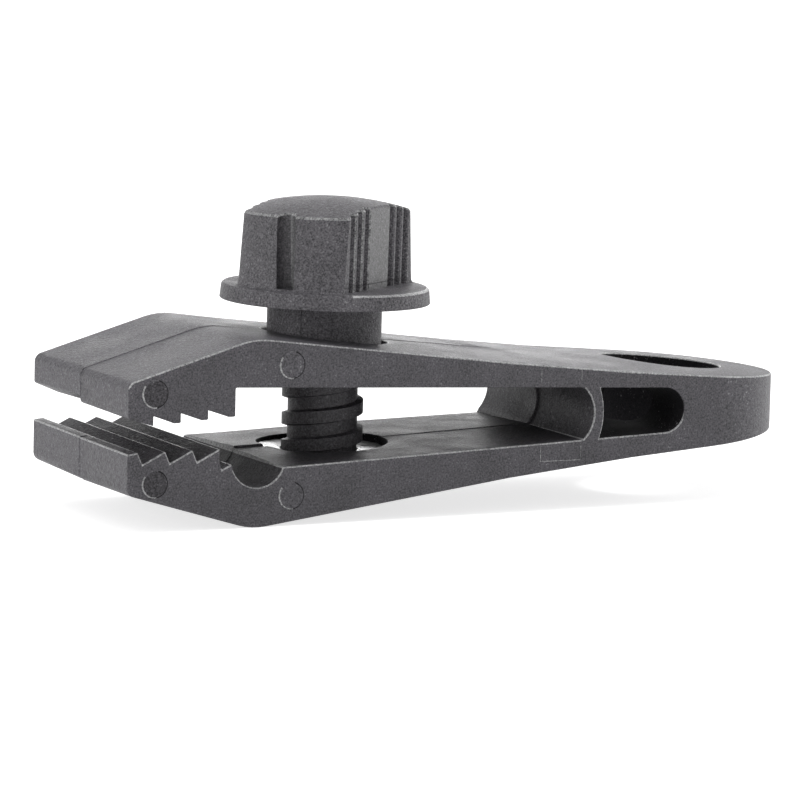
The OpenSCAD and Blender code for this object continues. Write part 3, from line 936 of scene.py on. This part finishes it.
def moulded(name, dark, pale, rough, grain, gleam=0.5):
    """Moulded nylon with a spark-eroded grain: speckles between two tones, slow clouds and fine bumps."""
    material = bpy.data.materials.new(name)
    material.use_nodes = True
    nodes, links = material.node_tree.nodes, material.node_tree.links
    shader = nodes["Principled BSDF"]
    shader.inputs["Specular IOR Level"].default_value = gleam
    place = add(nodes, "ShaderNodeTexCoord").outputs["Object"]
    speckle = add(nodes, "ShaderNodeTexNoise", **SPECKLE)
    clouds = add(nodes, "ShaderNodeTexNoise", **CLOUDS)
    pits = add(nodes, "ShaderNodeTexNoise", **PITS)
    for noise in (speckle, clouds, pits):
        links.new(place, noise.inputs["Vector"])
    mottle = add(nodes, "ShaderNodeMix", Factor=PITS_SHARE)
    links.new(speckle.outputs["Fac"], mottle.inputs["A"])
    links.new(pits.outputs["Fac"], mottle.inputs["B"])
    both = add(nodes, "ShaderNodeMix", Factor=CLOUDS_SHARE)
    links.new(mottle.outputs["Result"], both.inputs["A"])
    links.new(clouds.outputs["Fac"], both.inputs["B"])
    tones = add(nodes, "ShaderNodeValToRGB")
    links.new(both.outputs["Result"], tones.inputs["Fac"])
    low, high = tones.color_ramp.elements
    low.position, high.position = DARK_AT, PALE_AT
    low.color, high.color = (*dark, 1), (*pale, 1)
    tones.color_ramp.elements.new(SPARK_AT).color = (*SPARK, 1)
    links.new(tones.outputs["Color"], shader.inputs["Base Color"])
    gloss = add(
        nodes,
        "ShaderNodeMapRange",
        From_Min=GLOSS_FROM,
        From_Max=GLOSS_TO,
        To_Min=rough - GLOSS_SWAY,
        To_Max=rough + GLOSS_SWAY,
    )
    links.new(clouds.outputs["Fac"], gloss.inputs["Value"])
    links.new(gloss.outputs["Result"], shader.inputs["Roughness"])
    coarse = add(nodes, "ShaderNodeBump", Strength=grain, Distance=GRAIN_DEEP)
    fine = add(nodes, "ShaderNodeBump", Strength=grain, Distance=GRAIN_DEEP * PITS_DEEPER)
    links.new(speckle.outputs["Fac"], coarse.inputs["Height"])
    links.new(pits.outputs["Fac"], fine.inputs["Height"])
    links.new(coarse.outputs["Normal"], fine.inputs["Normal"])
    links.new(fine.outputs["Normal"], shader.inputs["Normal"])
    return material


def body_looks():
    """The body's materials, in the order of the looks."""
    return [
        moulded("body_nylon", BODY_DARK, BODY_PALE, rough=0.48, grain=1.0),
        # Painted highlight on rounded edges, rims and raised lines
        moulded("body_edge_painted_highlight", EDGE_HIGHLIGHT_DARK, EDGE_HIGHLIGHT_PALE, rough=0.4, grain=0.3),
        # Painted shade inside the openings
        moulded("body_painted_shade", INSIDE_DARK, INSIDE_PALE, rough=0.8, grain=0.7, gleam=0.1),
        # Painted highlight on the recess's floor
        moulded("recess_floor", RECESS_HIGHLIGHT_DARK, RECESS_HIGHLIGHT_PALE, rough=0.2, grain=0.2),
        # Painted shade in the throat, on the lower teeth and in the groove
        moulded("throat_painted_shade", SHADE_DARK, SHADE_PALE, rough=0.5, grain=0.9, gleam=0.28),
    ]


def screw_looks():
    """The screw's materials, in the order of the looks."""
    return [
        moulded("screw_nylon", SCREW_DARK, SCREW_PALE, rough=0.54, grain=1.0),
        # Painted highlight on the knob's edge and crests
        moulded("screw_edge_painted_highlight", CREST_HIGHLIGHT_DARK, CREST_HIGHLIGHT_PALE, rough=0.4, grain=0.4),
        moulded("screw_line", INSIDE_DARK, INSIDE_PALE, rough=0.8, grain=0.5),
        # Painted light on the knob's flats
        moulded("screw_flat_painted_light", FLAT_LIT_DARK, FLAT_LIT_PALE, rough=0.42, grain=0.4),
        # Painted shade on the thread and the core
        moulded("screw_thread_painted_shade", SHADE_DARK, SHADE_PALE, rough=0.54, grain=0.9),
        # Painted glint on the flange's rim
        moulded("screw_rim_painted_glint", EDGE_HIGHLIGHT_DARK, EDGE_HIGHLIGHT_PALE, rough=0.35, grain=0.3),
    ]


def camera():
    """Stands the camera where the photograph was taken from."""
    place, aim = Vector(CAMERA_PLACE), Vector(CAMERA_AIM)
    back = (place - aim).normalized()
    right = Vector((0, 0, 1)).cross(back).normalized()
    up = back.cross(right)
    roll = math.radians(CAMERA_ROLL)
    across = right * math.cos(roll) + up * math.sin(roll)
    above = up * math.cos(roll) - right * math.sin(roll)
    turn = Matrix((across, above, back)).transposed()
    data = bpy.data.cameras.new("camera")
    data.lens = CAMERA_LENS
    data.sensor_width = SENSOR_W
    data.clip_start, data.clip_end = CAMERA_NEAR, CAMERA_FAR
    view = bpy.data.objects.new("camera", data)
    view.matrix_world = Matrix.Translation(place) @ turn.to_4x4()
    bpy.context.scene.collection.objects.link(view)
    bpy.context.scene.camera = view


def seen_white(nodes, links, light, white):
    """Mixes the shader that gives light with the white one that the camera and reflections see."""
    path = add(nodes, "ShaderNodeLightPath")
    camera_or_glossy = add(nodes, "ShaderNodeMath", operation="MAXIMUM")
    links.new(path.outputs["Is Camera Ray"], camera_or_glossy.inputs[0])
    links.new(path.outputs["Is Glossy Ray"], camera_or_glossy.inputs[1])
    seen = add(nodes, "ShaderNodeMath", operation="MAXIMUM")
    links.new(camera_or_glossy.outputs["Value"], seen.inputs[0])
    links.new(path.outputs["Is Transmission Ray"], seen.inputs[1])
    mix = add(nodes, "ShaderNodeMixShader")
    links.new(seen.outputs["Value"], mix.inputs["Fac"])
    links.new(light, mix.inputs[1])
    links.new(white, mix.inputs[2])
    return mix.outputs["Shader"]


def surroundings():
    """The world: light from all round, dimmer on one side, and white where it is seen."""
    world = bpy.data.worlds.new("world")
    world.use_nodes = True
    nodes, links = world.node_tree.nodes, world.node_tree.links
    light = nodes["Background"]
    light.inputs["Color"].default_value = WHITE
    way = add(nodes, "ShaderNodeTexCoord").outputs["Generated"]
    towards = add(nodes, "ShaderNodeVectorMath", operation="DOT_PRODUCT")
    towards.inputs[1].default_value = DIM_SIDE
    links.new(way, towards.inputs[0])
    level = add(
        nodes,
        "ShaderNodeMapRange",
        interpolation_type="SMOOTHSTEP",
        From_Min=DIM_START,
        From_Max=DIM_END,
        To_Min=WORLD_LEVEL,
        To_Max=WORLD_DIM,
    )
    links.new(towards.outputs["Value"], level.inputs["Value"])
    links.new(level.outputs["Result"], light.inputs["Strength"])
    white = add(nodes, "ShaderNodeBackground", Color=WHITE)
    shader = seen_white(nodes, links, light.outputs["Background"], white.outputs["Background"])
    links.new(shader, nodes["World Output"].inputs["Surface"])
    bpy.context.scene.world = world


def floor(height):
    """A wide pale floor that keeps the clip's shadow."""
    bm = bmesh.new()
    bmesh.ops.create_circle(bm, cap_ends=True, segments=FLOOR_SIDES, radius=FLOOR_R)
    bmesh.ops.translate(bm, vec=(0, 0, height), verts=bm.verts)
    mesh = bpy.data.meshes.new("floor")
    bm.to_mesh(mesh)
    bm.free()
    thing = bpy.data.objects.new("floor", mesh)
    bpy.context.scene.collection.objects.link(thing)
    material = bpy.data.materials.new("pale_floor")
    material.use_nodes = True
    nodes, links = material.node_tree.nodes, material.node_tree.links
    nodes.remove(nodes["Principled BSDF"])
    lit = add(nodes, "ShaderNodeBsdfDiffuse", Color=FLOOR_GREY)
    glow = add(nodes, "ShaderNodeEmission", Color=WHITE, Strength=FLOOR_GLOW)
    pale = add(nodes, "ShaderNodeAddShader")
    links.new(lit.outputs["BSDF"], pale.inputs[0])
    links.new(glow.outputs["Emission"], pale.inputs[1])
    shader = seen_white(nodes, links, lit.outputs["BSDF"], pale.outputs["Shader"])
    links.new(shader, nodes["Material Output"].inputs["Surface"])
    mesh.materials.append(material)


def softbox(name, bearing, height, size, power):
    """A square soft lamp that faces the clip from a bearing and a height in degrees."""
    a, b = math.radians(bearing), math.radians(height)
    way = Vector((math.cos(a) * math.cos(b), math.sin(a) * math.cos(b), math.sin(b)))
    data = bpy.data.lights.new(name, "AREA")
    data.shape = "SQUARE"
    data.size = size
    data.energy = power
    lamp = bpy.data.objects.new(name, data)
    lamp.location = LAMP_AIM + way * LAMP_DISTANCE
    lamp.rotation_euler = way.to_track_quat("Z", "Y").to_euler()
    bpy.context.scene.collection.objects.link(lamp)


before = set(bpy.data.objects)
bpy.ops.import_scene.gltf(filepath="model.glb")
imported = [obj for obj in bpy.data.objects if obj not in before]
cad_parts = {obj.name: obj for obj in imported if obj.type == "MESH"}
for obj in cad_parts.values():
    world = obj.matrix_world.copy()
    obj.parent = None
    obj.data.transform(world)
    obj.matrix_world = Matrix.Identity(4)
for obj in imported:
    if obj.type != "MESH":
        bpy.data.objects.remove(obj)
cad_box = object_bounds()
camera()
body(body_looks())
screw(screw_looks())
surroundings()
floor(cad_box[0][2])
for lamp_values in LAMPS:
    softbox(*lamp_values)
bpy.context.scene.view_settings.view_transform = "Standard"
